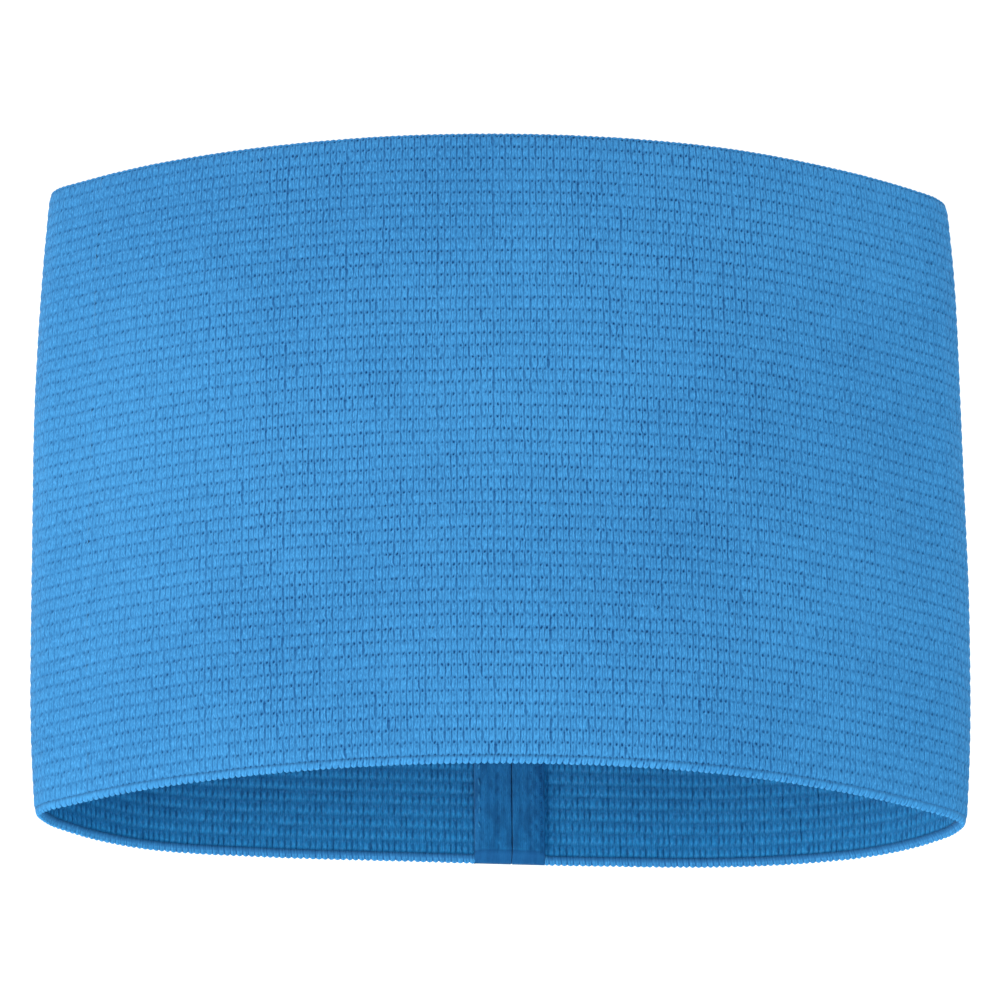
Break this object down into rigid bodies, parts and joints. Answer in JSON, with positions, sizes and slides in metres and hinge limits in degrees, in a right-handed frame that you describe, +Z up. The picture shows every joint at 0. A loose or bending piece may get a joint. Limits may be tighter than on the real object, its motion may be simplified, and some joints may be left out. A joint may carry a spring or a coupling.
{
  "type": "captain armband",
  "caption": "Plain wide knitted elastic armband, an oval loop that stands open on its rim, closed by a sewn joint with turned-open ends inside.",
  "frame": {"origin": "on the surface it stands on, under the middle of the loop's outside box", "axes": "+Z up along the arm hole, +X across the flat width, the front faces -Y and the sewn joint is at the back on +Y"},
  "size_m": [0.1215, 0.037, 0.09],
  "materials": {
    "knit_elastic": "matt knitted elastic",
    "knit_turned_end": "matt knitted elastic, pressed"
  },
  "bodies": {
    "root": {"elastic_band": "knit_elastic", "seam_allowance_left": "knit_turned_end", "seam_allowance_right": "knit_turned_end"}
  },
  "joints": []
}
